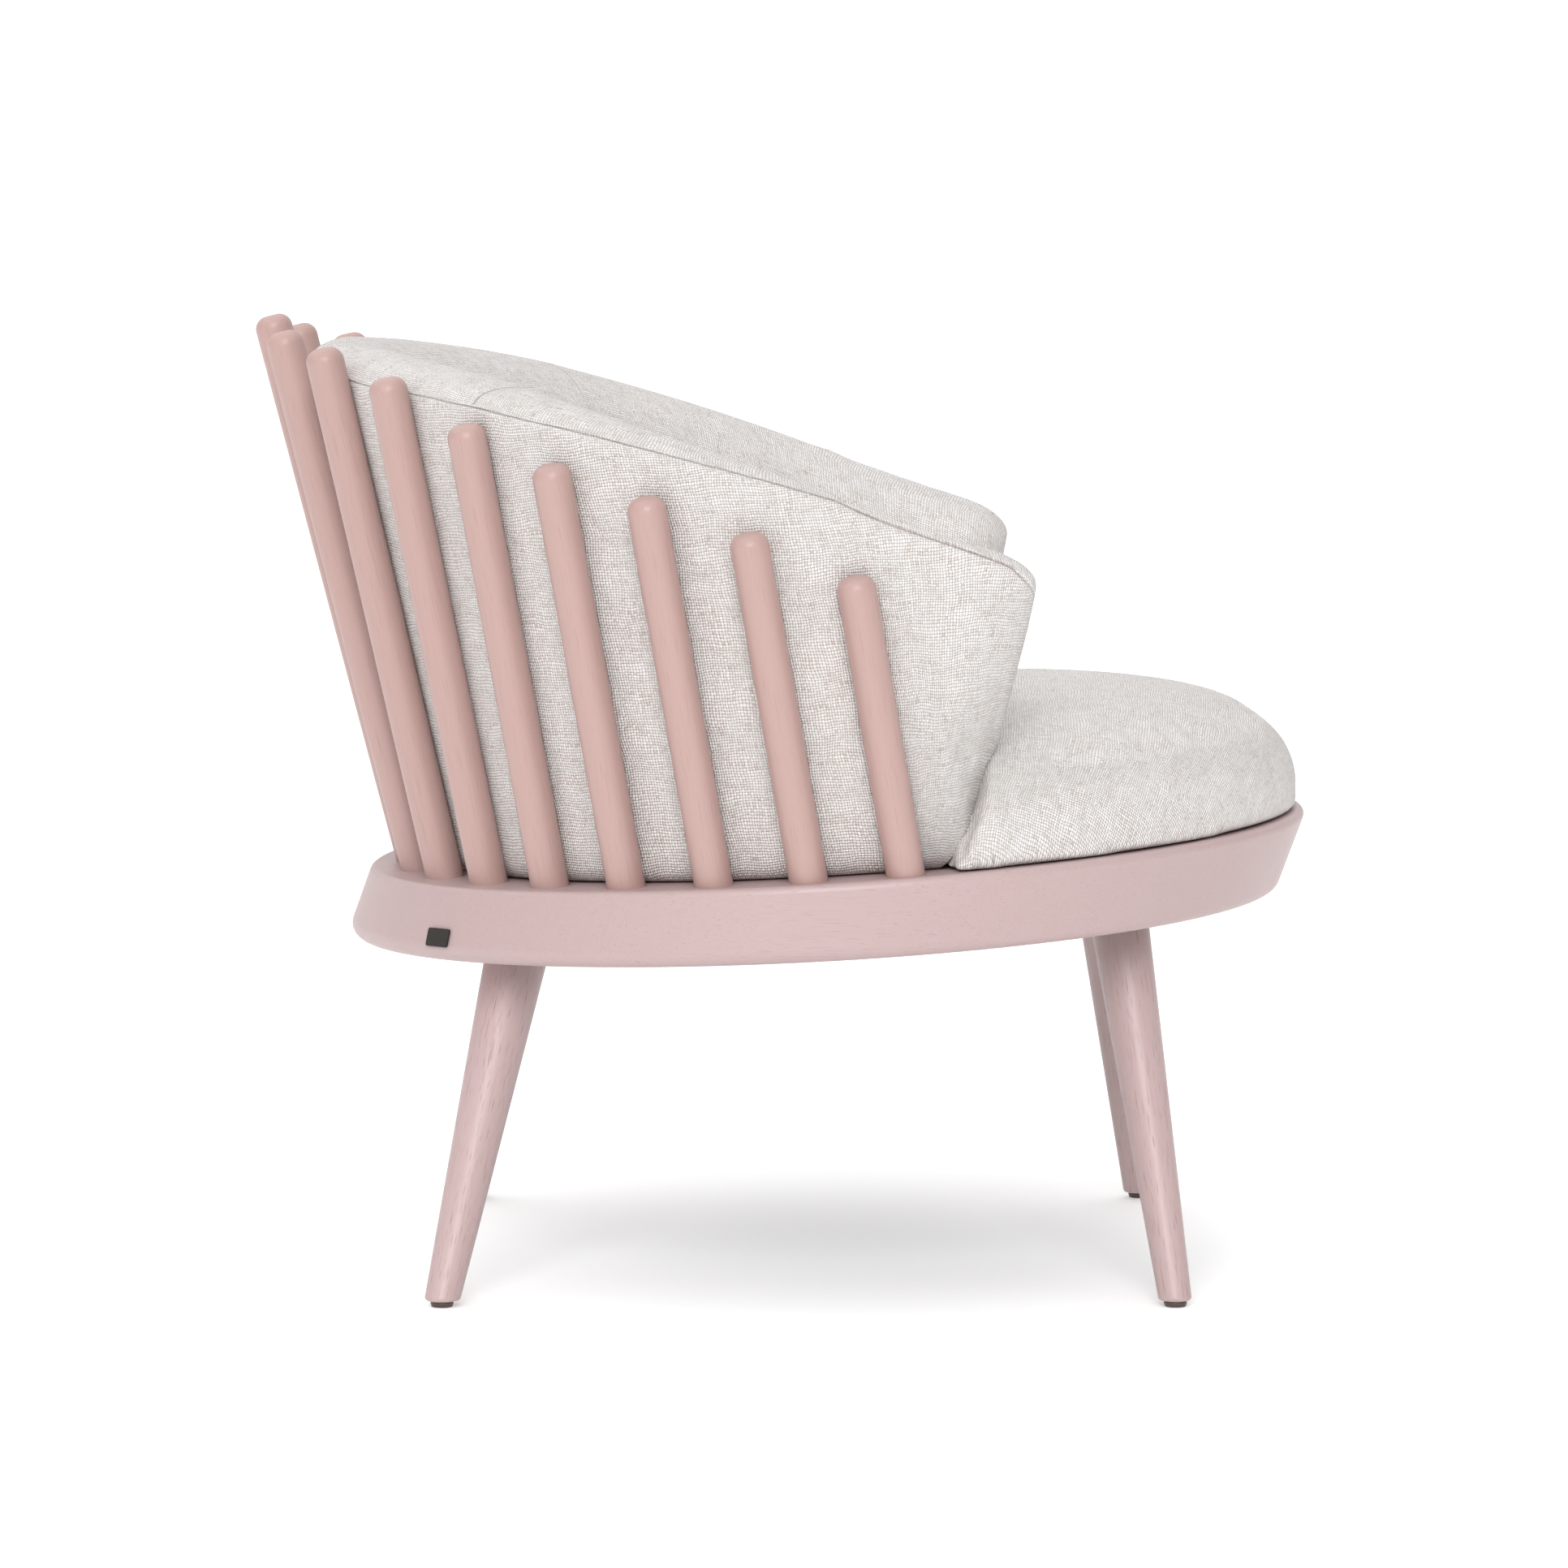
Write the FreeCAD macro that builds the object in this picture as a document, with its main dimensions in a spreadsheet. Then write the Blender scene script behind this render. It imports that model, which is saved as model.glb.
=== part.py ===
import FreeCAD, Part
import os
import Sketcher
from math import cos, degrees, pi, radians, sin, tan
from FreeCAD import Placement, Rotation, Vector

# Round lounge chair: a leaning wooden ring on four splayed legs carries seventeen turned
# spindles, which hold a wrap-around back cushion, and a crowned round seat cushion.
# Millimetres, +Z up, the sitter faces -Y, and the floor is Z = 0.

doc = FreeCAD.newDocument("spindle_chair")

sizes = {
    # wooden ring, measured on its centre line
    "ring_diameter": 710, "ring_draft": 2, "ring_level": 319.6, "ring_height": 56.6,
    "ring_top_tilt": 3.7, "ring_bottom_tilt": 3.1, "ring_bottom_shift": 21,
    "ring_top_round": 5, "ring_bottom_round": 10,
    # the ring's wall: thick around the board, thin around the beams
    "board_wall": 67, "under_wall": 43, "under_shift": 14, "socket_floor": 4,
    # spindles: rise above the ring from the middle of the back (0) to the arm (8)
    "spindle_diameter": 28, "spindle_socket": 26, "spindle_end_round": 10,
    "spindle_edge": 23.3, "spindle_circle_shift": 10, "spindle_step": 12,
    "spindle_lean_back": 14.5, "spindle_lean_side": 9.8, "spindle_lean_reach": 54,
    "spindle_flare": 9,
    "rise_0": 413, "rise_1": 403, "rise_2": 392, "rise_3": 371, "rise_4": 337,
    "rise_5": 307, "rise_6": 281, "rise_7": 252, "rise_8": 216.5,
    # legs: how far each foot stands outside the ring's edge, and its turn from the middle line
    "leg_front_out": 2, "leg_rear_out": 36.6, "leg_front_turn": 47.21, "leg_rear_turn": 42,
    "leg_front_lean": 7.9, "leg_rear_lean": 12.1, "leg_splay": 21.5,
    "leg_front_foot_radius": 12, "leg_front_top_radius": 22,
    "leg_rear_foot_radius": 12.8, "leg_rear_top_radius": 23.5, "leg_foot_round": 2.5,
    # glides under the feet
    "glide_radius": 8.4, "glide_height": 4.5, "glide_edge": 1,
    "nail_radius": 1.2, "nail_length": 18,
    # deck under the cushions
    "board_thickness": 18, "beam_height": 32, "beam_width": 118, "cover_thickness": 1.2,
    # fasteners
    "bolt_radius": 4, "bolt_in_leg": 38, "bolt_in_beam": 17, "insert_radius": 6.5,
    "screw_radius": 2.2, "screw_head_radius": 4.4, "screw_length": 40,
    "back_bolt_radius": 3, "back_bolt_head_radius": 7, "back_bolt_head": 3, "back_bolt_grip": 12,
    # seat cushion
    "seat_inset": 8, "seat_crown": 120, "seat_crown_radius": 1400, "seat_shoulder": 48,
    "seat_base_round": 9,
    # back cushion and the plywood inside it
    "back_thickness": 86, "back_rise": 402, "back_arm_rise": 269, "back_rise_power": 1.87,
    "back_seam_drop": 10, "back_round": 26,
    "arm_past": 23.1, "arm_lean": 19.5, "arm_front_rise": 220, "arm_front_width": 54,
    "rail_height": 18, "rail_width": 46, "rail_margin": 6,
    "shell_thickness": 10, "shell_inset": 30, "shell_below_crest": 70,
    # metal plate on the ring
    "plate_width": 26, "plate_height": 13.5, "plate_thickness": 1.6,
    "plate_round": 2, "plate_angle": 37.6, "plate_drop": 38,
    # room between neighbours
    "fabric_gap": 0.5, "socket_gap": 0.05,
    # the frame's origin lies under the middle of the whole chair
    "origin_shift": 0,
}
sheet = doc.addObject("Spreadsheet::Sheet", "sizes")
for row, (alias, value) in enumerate(sizes.items(), 1):
    sheet.set(f"A{row}", alias)
    sheet.set(f"B{row}", str(value))
    sheet.setAlias(f"B{row}", alias)
doc.recompute()


def size(alias):
    return float(getattr(sheet, alias))


nodes = []                       # every finished sub-part, in the order it is made
SIDE_COUNT = 8                   # spindles on each side of the middle one


def at(forward, right, up):
    """A point from its distances in front of, to the sitter's right of and above the origin."""
    return Vector(-right, -forward, up)


def add(kind, name, **bindings):
    """One document object with its sizes bound to the sheet."""
    thing = doc.addObject(kind, name)
    for prop, expression in bindings.items():
        thing.setExpression(prop, expression)
    return thing


def finish(thing, label):
    """The finished sub-part: it moves with the chair's origin and names its file."""
    node = doc.addObject("Part::Compound", label)
    node.Links = [thing]
    node.Label = label
    node.setExpression("Placement.Base.y", "sizes.origin_shift")
    nodes.append(node)
    return thing


def cut(name, base, *tools):
    thing = doc.addObject("Part::Cut", name)
    thing.Base = base
    thing.Tool = tools[0] if len(tools) == 1 else compound(name + "_tools", tools)
    return thing


def common(name, *shapes):
    thing = doc.addObject("Part::MultiCommon", name)
    thing.Shapes = list(shapes)
    return thing


def compound(name, parts):
    thing = doc.addObject("Part::Compound", name)
    thing.Links = list(parts)
    return thing


def in_from_rim(margin):
    """A radius measured in from the ring's outer edge."""
    return size("ring_diameter") / 2 - size(margin)


def rim_less(margin):
    """The same radius as an expression."""
    return f"sizes.ring_diameter / 2 - sizes.{margin}"


def along(origin, direction):
    """A placement whose Z axis points along a direction."""
    return Placement(origin, Rotation(Vector(0, 0, 1), direction))


# ---- the deck: the tilted plane of the ring's top -------------------------------------

top_slope = tan(radians(size("ring_top_tilt")))
bottom_slope = tan(radians(size("ring_bottom_tilt")))
deck_turn = Rotation(Vector(1, 0, 0), -size("ring_top_tilt"))


def deck(forward=0, right=0, up=0):
    """A placement on the ring's top plane, its Z axis square to that plane."""
    level = Placement(at(0, 0, size("ring_level")), deck_turn)
    return level.multiply(Placement(at(forward, right, up), Rotation()))


def on_deck(forward, right, up=0):
    """A point a vertical distance above the ring's top plane."""
    return at(forward, right, size("ring_level") + top_slope * forward + up)


def tilted_circle(name, radius, shift, drop, tilt):
    circle = add("Part::Circle", name, Radius=radius)
    circle.Placement = Placement(at(-shift, 0, size("ring_level") - drop - shift * tan(radians(tilt))),
                                 Rotation(Vector(1, 0, 0), -tilt))
    return circle


def leaning_drum(name):
    """The solid between the ring's two tilted faces."""
    top = tilted_circle(name + "_top", "sizes.ring_diameter / 2", 0, 0, size("ring_top_tilt"))
    bottom = tilted_circle(name + "_bottom", rim_less("ring_draft"),
                           size("ring_bottom_shift"), size("ring_height"), size("ring_bottom_tilt"))
    drum = doc.addObject("Part::Loft", name)
    drum.Sections = [bottom, top]
    drum.Solid = True
    drum.Ruled = True
    return drum


def slab(name, top, thickness, reach="sizes.ring_diameter"):
    """A wide plate parallel to the deck, whose top lies a distance below it."""
    plate = add("Part::Box", name, Length=reach, Width=reach, Height=thickness)
    half = size("ring_diameter") / 2
    plate.Placement = deck(half, half, -top)
    return plate


# ---- spindles --------------------------------------------------------------------------

def spindle_slopes(angle):
    """How far a spindle moves backward and to its side for each unit of height."""
    reach = size("spindle_lean_reach")
    share = (1 + cos(pi * abs(angle) / reach)) / 2 if abs(angle) < reach else 0
    side = size("spindle_lean_side")
    lean = side + (size("spindle_lean_back") - side) * share
    return tan(radians(lean)), tan(radians(size("spindle_flare"))) * sin(radians(angle))


def rim_point(angle, radius, up=0):
    """A point on a circle about the spindles' centre; 0 is the middle of the back."""
    forward = size("spindle_circle_shift") - radius * cos(radians(angle))
    return on_deck(forward, radius * sin(radians(angle)), up)


def spindle_axis(angle):
    back, side = spindle_slopes(angle)
    direction = at(-back, side, 1)
    start = rim_point(angle, in_from_rim("spindle_edge"))
    unit = Vector(direction).normalize()
    return start - unit * size("spindle_socket"), direction


def round_bar(name, radius, length):
    """A body: a round bar padded up from its own base plane."""
    body = doc.addObject("PartDesign::Body", name)
    sketch = body.newObject("Sketcher::SketchObject", name + "_section")
    plane = [item for item in body.Origin.OriginFeatures if item.Role == "XY_Plane"][0]
    sketch.AttachmentSupport = (plane, [""])
    sketch.MapMode = "FlatFace"
    sketch.addGeometry(Part.Circle(Vector(0, 0, 0), Vector(0, 0, 1), 10), False)
    sketch.addConstraint(Sketcher.Constraint("Coincident", 0, 3, -1, 1))
    sketch.addConstraint(Sketcher.Constraint("Radius", 0, 10))
    sketch.setExpression("Constraints[1]", radius)
    pad = body.newObject("PartDesign::Pad", name + "_bar")
    pad.Profile = sketch
    pad.setExpression("Length", length)
    doc.recompute()
    return body, pad


def end_edge(shape, top=True):
    """The name of the closed edge at one end of a bar."""
    best = max if top else min
    closed = [(edge.BoundBox.Center.z, index) for index, edge in enumerate(shape.Edges, 1)
              if edge.isClosed()]
    return f"Edge{best(closed)[1]}"


def rounded(body, pad, name, radius, top=True, kind="PartDesign::Fillet", prop="Radius"):
    edge = body.newObject(kind, name)
    edge.Base = (pad, [end_edge(pad.Shape, top)])
    edge.setExpression(prop, radius)
    body.Tip = edge
    return edge


sockets = []
for number in range(-SIDE_COUNT, SIDE_COUNT + 1):
    angle = -number * size("spindle_step")       # spindle_01 is at the sitter's right arm
    label = f"spindle_{number + SIDE_COUNT + 1:02d}"
    start, direction = spindle_axis(angle)
    stretch = direction.Length
    bar, pad = round_bar(label + "_body", "sizes.spindle_diameter / 2",
                         f"sizes.rise_{abs(number)} * {stretch:.6f} + sizes.spindle_socket")
    rounded(bar, pad, label + "_end", "sizes.spindle_end_round")
    bar.Placement = along(start, direction)
    finish(bar, label)
    socket = add("Part::Cylinder", label + "_socket",
                 Radius="sizes.spindle_diameter / 2 + sizes.socket_gap",
                 Height="sizes.spindle_socket * 2")
    socket.Placement = along(start, direction)
    sockets.append(socket)


# ---- ring ------------------------------------------------------------------------------

def edges_at(shape, test):
    return [index for index, edge in enumerate(shape.Edges, 1) if edge.isClosed() and test(edge)]


drum = leaning_drum("ring_drum")
board_room = add("Part::Cylinder", "board_room", Radius=rim_less("board_wall"),
                 Height="sizes.spindle_socket * 2 + sizes.socket_floor")
board_room.Placement = deck(0, 0, -size("spindle_socket") - size("socket_floor"))
beam_room = add("Part::Cylinder", "beam_room", Radius=rim_less("under_wall"), Height="sizes.ring_height")
beam_room.Placement = deck(-size("under_shift"), 0,
                           -size("spindle_socket") - size("socket_floor") - size("ring_height"))
hollow = doc.addObject("Part::Fuse", "ring_hollow")
hollow.Base = board_room
hollow.Tool = beam_room
doc.recompute()
middle = size("ring_level") - size("ring_height") / 2
soft_drum = doc.addObject("Part::Fillet", "ring_drum_rounded")
soft_drum.Base = drum
soft_drum.Edges = (
    [(index, size("ring_top_round"), size("ring_top_round"))
     for index in edges_at(drum.Shape, lambda edge: edge.BoundBox.Center.z > middle)]
    + [(index, size("ring_bottom_round"), size("ring_bottom_round"))
       for index in edges_at(drum.Shape, lambda edge: edge.BoundBox.Center.z < middle)])


def plate_placement():
    """On the ring's outer face, right rear: Z along the face's outward normal, X level."""
    angle = radians(size("plate_angle"))
    share = size("plate_drop") / size("ring_height")

    def rim(turn, down):
        radius = size("ring_diameter") / 2 - size("ring_draft") * down
        forward = -radius * cos(turn) - size("ring_bottom_shift") * down
        slope = top_slope * (1 - down) + bottom_slope * down
        return at(forward, radius * sin(turn), size("ring_level") - size("ring_height") * down
                  + slope * forward)

    spot = rim(angle, share)
    level = (rim(angle - 0.01, share) - rim(angle + 0.01, share)).normalize()
    rise = (rim(angle, 0) - rim(angle, 1)).normalize()
    normal = level.cross(rise).normalize()
    if normal.dot(Vector(spot.x, spot.y, 0)) < 0:
        normal = normal * -1
    turn = Rotation(level, normal.cross(level), normal, "ZXY")
    return Placement(spot, turn)


plate_spot = plate_placement()
plate_box = add("Part::Box", "plate_blank", Length="sizes.plate_width", Width="sizes.plate_height",
                Height="sizes.plate_thickness")
centred = Vector(-size("plate_width") / 2, -size("plate_height") / 2, 0)
plate_box.Placement = plate_spot.multiply(Placement(centred, Rotation()))
doc.recompute()
plate = doc.addObject("Part::Fillet", "plate_rounded")
plate.Base = plate_box
outward = plate_spot.Rotation.multVec(Vector(0, 0, 1))
plate.Edges = [(index, size("plate_round"), size("plate_round"))
               for index, edge in enumerate(plate_box.Shape.Edges, 1)
               if abs(edge.tangentAt(edge.FirstParameter).dot(outward)) > 0.99]

finish(cut("ring_bored", cut("ring_open", soft_drum, hollow), *sockets), "base_ring")
finish(plate, "badge_plate")

# ---- deck inside the ring: board, two beams, dust cover ------------------------------------

beam_drop = size("board_thickness") + size("beam_height")


def beam(name, forward):
    blank = add("Part::Box", name + "_blank", Length="sizes.ring_diameter", Width="sizes.beam_width",
                Height="sizes.beam_height")
    blank.Placement = deck(forward + size("beam_width") / 2, size("ring_diameter") / 2, -beam_drop)
    return common(name + "_fitted", hollow, blank)


# ---- legs ----------------------------------------------------------------------------------

def leg_line(front, side):
    """The leg's foot and its direction upward; side is 1 on the sitter's right."""
    kind = "leg_front" if front else "leg_rear"
    ahead = 1 if front else -1
    radius = size("ring_diameter") / 2 + size(kind + "_out")
    turn = radians(size(kind + "_turn"))
    start = at(ahead * radius * cos(turn), side * radius * sin(turn), size("glide_height"))
    lean = tan(radians(size(kind + "_lean")))
    return start, at(-ahead * lean, -side * tan(radians(size("leg_splay"))), 1)


def leg_top(front):
    """How far forward and to the side a leg has come near the beams."""
    start, direction = leg_line(front, 1)
    spot = start + direction * (size("ring_level") - beam_drop)
    return -spot.y, -spot.x


def deck_hit(start, direction, drop):
    """Where a leg's line meets the plane a distance below the deck."""
    normal = deck_turn.multVec(Vector(0, 0, 1))
    plane = deck(0, 0, -drop).Base
    return start + direction * (normal.dot(plane - start) / normal.dot(direction))


room = add("Part::Box", "leg_room", Length="sizes.ring_diameter * 2", Width="sizes.ring_diameter * 2",
           Height="sizes.ring_level")
room.Placement = Placement(Vector(-size("ring_diameter"), -size("ring_diameter"), size("glide_height")),
                           Rotation())
under_beams = slab("under_beams", beam_drop, "sizes.ring_level * 2")
under_beams.Placement = deck(size("ring_diameter") / 2, size("ring_diameter") / 2,
                             -beam_drop - 2 * size("ring_level"))
EXTRA = 30                       # a leg's cone runs past both of its cut ends
cover_holes = []
bolts = []
inserts = []
nails = []
glides = []
for front, side in ((True, 1), (True, -1), (False, 1), (False, -1)):
    label = ("front" if front else "rear") + ("_right" if side > 0 else "_left")
    kind = "leg_front_" if front else "leg_rear_"
    start, direction = leg_line(front, side)
    top = deck_hit(start, direction, beam_drop)
    run = (top - start).Length
    unit = Vector(direction).normalize()
    taper = f"(sizes.{kind}top_radius - sizes.{kind}foot_radius) * {EXTRA / run:.6f}"
    cone = add("Part::Cone", "leg_" + label + "_cone",
               Radius1=f"sizes.{kind}foot_radius - {taper}",
               Radius2=f"sizes.{kind}top_radius + {taper}")
    cone.Height = run + 2 * EXTRA
    cone.Placement = along(start - unit * EXTRA, direction)
    blank = common("leg_" + label + "_blank", cone, room, under_beams)
    doc.recompute()
    foot = doc.addObject("Part::Fillet", "leg_" + label + "_foot")
    foot.Base = blank
    foot.Edges = [(index, size("leg_foot_round"), size("leg_foot_round"))
                  for index in edges_at(blank.Shape,
                                        lambda edge: edge.BoundBox.ZMax < 2 * size("glide_height"))]
    bolt = add("Part::Cylinder", "leg_bolt_" + label, Radius="sizes.bolt_radius",
               Height="sizes.bolt_in_leg + sizes.bolt_in_beam")
    bolt.Placement = along(top - unit * size("bolt_in_leg"), direction)
    bolts.append(bolt)
    # the insert's lower end is cut level with the beam's underside
    sleeve = add("Part::Cylinder", "leg_insert_" + label, Radius="sizes.insert_radius",
                 Height="sizes.bolt_in_beam + sizes.insert_radius")
    sleeve.Placement = along(top - unit * size("insert_radius"), direction)
    inserts.append(sleeve)
    nail = add("Part::Cylinder", "nail_" + label, Radius="sizes.nail_radius", Height="sizes.nail_length")
    nail.Placement = Placement(start - Vector(0, 0, size("glide_height") / 2), Rotation())
    nails.append(nail)
    hole = add("Part::Cone", "cover_hole_" + label, Radius1=f"sizes.{kind}top_radius + 2",
               Radius2=f"sizes.{kind}top_radius + 2 + {taper}", Height="sizes.insert_radius * 4")
    hole.Placement = along(top - unit * size("insert_radius") * 2, direction)
    cover_holes.append(hole)
    finish(cut("leg_" + label + "_bored", foot, bolt, nail), "leg_" + label)
    pad_body, pad = round_bar("glide_body_" + label, "sizes.glide_radius", "sizes.glide_height")
    rounded(pad_body, pad, "glide_edge_" + label, "sizes.glide_edge", top=False)
    pad_body.Placement = Placement(start - Vector(0, 0, size("glide_height")), Rotation())
    glides.append((label, pad_body, nail))

for label, pad_body, nail in glides:
    finish(cut("glide_" + label + "_bored", pad_body, nail), "glide_" + label)
finish(compound("nails", nails), "glide_nails")

bolt_set = compound("leg_bolt_set", bolts)
finish(bolt_set, "leg_bolts")
above_legs = slab("above_legs", 0, "sizes.board_thickness + sizes.beam_height")
above_legs.Placement = deck(size("ring_diameter") / 2, size("ring_diameter") / 2, -beam_drop)
sleeves = common("leg_sleeves", compound("leg_sleeve_set", inserts), above_legs)
insert_set = cut("leg_inserts_bored", sleeves, bolt_set)
finish(insert_set, "leg_inserts")

# countersunk screws hold the board to the beams
screws = []
for forward, aside in (leg_top(True), leg_top(False)):
    for share in (-0.75, -0.3, 0.3, 0.75):
        name = f"board_screw_{len(screws)}"
        shank = add("Part::Cylinder", name + "_shank", Radius="sizes.screw_radius",
                    Height="sizes.screw_length")
        head = add("Part::Cone", name + "_head", Radius1="sizes.screw_radius",
                   Radius2="sizes.screw_head_radius",
                   Height="sizes.screw_head_radius - sizes.screw_radius")
        shank.Placement = deck(forward, share * aside, -size("screw_length"))
        head.Placement = deck(forward, share * aside, size("screw_radius") - size("screw_head_radius"))
        screw = doc.addObject("Part::Fuse", name)
        screw.Base = shank
        screw.Tool = head
        screws.append(screw)
screw_set = compound("board_screw_set", screws)

# bolts come up through the board into the back cushion's base rail
arm_angle = SIDE_COUNT * size("spindle_step")          # the foremost spindle
outer_radius = in_from_rim("spindle_edge") - size("spindle_diameter") / 2 - size("fabric_gap")
rail_half_angle = arm_angle - size("spindle_step")
rail_outer = outer_radius - size("shell_inset") + size("rail_margin")
rail_radius = rail_outer - size("rail_width") / 2
back_bolts = []
for share in (-0.9, -0.45, 0, 0.45, 0.9):
    angle = share * rail_half_angle
    name = f"back_bolt_{len(back_bolts)}"
    forward = size("spindle_circle_shift") - rail_radius * cos(radians(angle))
    right = rail_radius * sin(radians(angle))
    shank = add("Part::Cylinder", name + "_shank", Radius="sizes.back_bolt_radius",
                Height="sizes.board_thickness + sizes.back_bolt_grip")
    head = add("Part::Cylinder", name + "_head", Radius="sizes.back_bolt_head_radius",
               Height="sizes.back_bolt_head")
    shank.Placement = deck(forward, right, -size("board_thickness"))
    head.Placement = deck(forward, right, -size("board_thickness") - size("back_bolt_head"))
    bolt = doc.addObject("Part::Fuse", name)
    bolt.Base = shank
    bolt.Tool = head
    back_bolts.append(bolt)
back_bolt_set = compound("back_bolt_group", back_bolts)

board = common("board_fitted", hollow, slab("board_slab", size("board_thickness"), "sizes.board_thickness"))
finish(cut("board_bored", board, screw_set, back_bolt_set), "seat_board")
for label, front in (("front_beam", True), ("rear_beam", False)):
    blank = beam(label, leg_top(front)[0])
    finish(cut(label + "_bored", blank, screw_set, bolt_set, insert_set, back_bolt_set), label)
finish(screw_set, "board_screws")
finish(back_bolt_set, "back_bolts")
cover = common("cover_fitted", hollow,
               slab("cover_slab", beam_drop + size("cover_thickness"), "sizes.cover_thickness"))
finish(cut("cover_open", cover, *cover_holes), "dust_cover")

# ---- back cushion ------------------------------------------------------------------------------

arm_end = arm_angle + degrees(size("arm_past") / outer_radius)
# the furthest forward that the arm's outer or inner face comes
arm_reach = size("spindle_circle_shift") - cos(radians(arm_end)) * (
    outer_radius if arm_end > 90 else outer_radius - size("back_thickness"))


def crest(angle):
    """The back cushion's rise above the deck."""
    if abs(angle) > arm_angle:
        share = (abs(angle) - arm_angle) / (arm_end - arm_angle)
        return size("back_arm_rise") + (size("arm_front_rise") - size("back_arm_rise")) * share
    drop = size("back_rise") - size("back_arm_rise")
    return size("back_rise") - drop * (abs(angle) / arm_angle) ** size("back_rise_power")


def section_frame(angle, inset, slopes):
    """A point maker for an outline in one spindle's plane: across the thickness, then up."""
    radius = outer_radius - inset
    start = rim_point(angle, radius)
    inward = rim_point(angle, radius - 1) - start
    upward = at(-slopes[0], slopes[1], 1)
    return lambda across, up: start + inward * across + upward * up


def closed(points):
    return Part.makePolygon(points + [points[0]])


def cushion_outline(angle, share=0):
    """Across the upholstery: flat sides, a domed top and a seam along its outer edge.

    Past the foremost spindle, share runs from 0 to 1: the arm fans forward and closes."""
    back, side = spindle_slopes(angle)
    back = back * (1 - share) - tan(radians(size("arm_lean"))) * share
    wide = size("back_thickness") * (1 - share) + size("arm_front_width") * share
    spot = section_frame(angle, (size("back_thickness") - wide) / 2, (back, side))
    rise = crest(angle)
    soft = min(size("back_round"), wide / 3)
    return closed([spot(0, 0), spot(0, rise - soft), spot(soft / 3, rise - size("back_seam_drop")),
                   spot(wide * 0.4, rise), spot(wide * 0.7, rise), spot(wide - soft / 3, rise - soft / 2),
                   spot(wide, rise - soft), spot(wide, 0)])


def shell_outline(angle):
    spot = section_frame(angle, size("shell_inset"), spindle_slopes(angle))
    low = size("rail_height")
    high = crest(angle) - size("shell_below_crest")
    thick = size("shell_thickness")
    return closed([spot(0, low), spot(0, high), spot(thick, high), spot(thick, low)])


def lofted(name, outlines):
    thing = doc.addObject("Part::Feature", name)
    thing.Shape = Part.makeLoft(outlines, True, True)
    thing.Placement = Placement()
    return thing


step = size("spindle_step")
arm_shares = (0.55, 1)
outlines = [cushion_outline(arm_angle + (arm_end - arm_angle) * share, share)
            for share in reversed(arm_shares)]
outlines += [cushion_outline(-number * step) for number in range(-SIDE_COUNT, SIDE_COUNT + 1)]
outlines += [cushion_outline(-arm_angle - (arm_end - arm_angle) * share, share)
             for share in arm_shares]
wrap = lofted("back_blank", outlines)
shell = lofted("shell_blank", [shell_outline(-number * step) for number in range(1 - SIDE_COUNT, SIDE_COUNT)])


def arc_rail(name, outer, inner_radius, thickness, half_angle):
    """A flat arched rail lying on the deck, open to the front."""
    rims = []
    for suffix, radius in (("_outer", outer), ("_inner", inner_radius)):
        rim = add("Part::Cylinder", name + suffix, Height=thickness)
        rim.Radius = radius
        rim.Angle = 2 * half_angle
        turned = Placement(Vector(), Rotation(Vector(0, 0, 1), 90 - half_angle))
        rim.Placement = deck(size("spindle_circle_shift")).multiply(turned)
        rims.append(rim)
    return cut(name, rims[0], rims[1])


rail = arc_rail("back_rail_blank", rail_outer, rail_outer - size("rail_width"), "sizes.rail_height",
                rail_half_angle)
finish(cut("back_bored", wrap, shell, rail), "back_cushion")
finish(shell, "back_shell")
finish(cut("back_rail_bored", rail, back_bolt_set), "back_rail")

# ---- seat cushion ----------------------------------------------------------------------------------

puck = add("Part::Cylinder", "seat_puck", Radius=rim_less("seat_inset"), Height="sizes.seat_crown")
puck.Placement = deck(0, 0, 0)
dome = add("Part::Sphere", "seat_dome", Radius="sizes.seat_crown_radius")
dome.Placement = deck(0, 0, size("seat_crown") - size("seat_crown_radius"))
crowned = common("seat_crowned", puck, dome)
doc.recompute()
soft_seat = doc.addObject("Part::Fillet", "seat_rounded")
soft_seat.Base = crowned
halfway = size("ring_level") + size("seat_crown") / 4
soft_seat.Edges = (
    [(index, size("seat_shoulder"), size("seat_shoulder"))
     for index in edges_at(crowned.Shape, lambda edge: edge.BoundBox.Center.z > halfway)]
    + [(index, size("seat_base_round"), size("seat_base_round"))
       for index in edges_at(crowned.Shape, lambda edge: edge.BoundBox.Center.z < halfway)])

# the seat fills the room between the arms and everything in front of them
well = add("Part::Cylinder", "seat_well", Height="sizes.seat_crown * 2")
well.Radius = (outer_radius - size("back_thickness")) * cos(radians(size("spindle_step") / 2)) - 1
well.Placement = deck(size("spindle_circle_shift"), 0, -size("seat_crown") / 2)
fore = add("Part::Box", "seat_fore", Length="sizes.ring_diameter * 2", Width="sizes.ring_diameter",
           Height="sizes.seat_crown * 4")
lean = Rotation(Vector(1, 0, 0), size("arm_lean"))
fore_corner = deck(arm_reach + 2, size("ring_diameter"), 0).Base
fore.Placement = Placement(fore_corner, lean).multiply(
    Placement(Vector(0, -size("ring_diameter"), -2 * size("seat_crown")), Rotation()))
room_for_seat = doc.addObject("Part::Fuse", "seat_room")
room_for_seat.Base = well
room_for_seat.Tool = fore
finish(common("seat_cushion_fitted", soft_seat, room_for_seat), "seat_cushion")

# ---- checks, the origin, and the files ----------------------------------------------------------------

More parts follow.
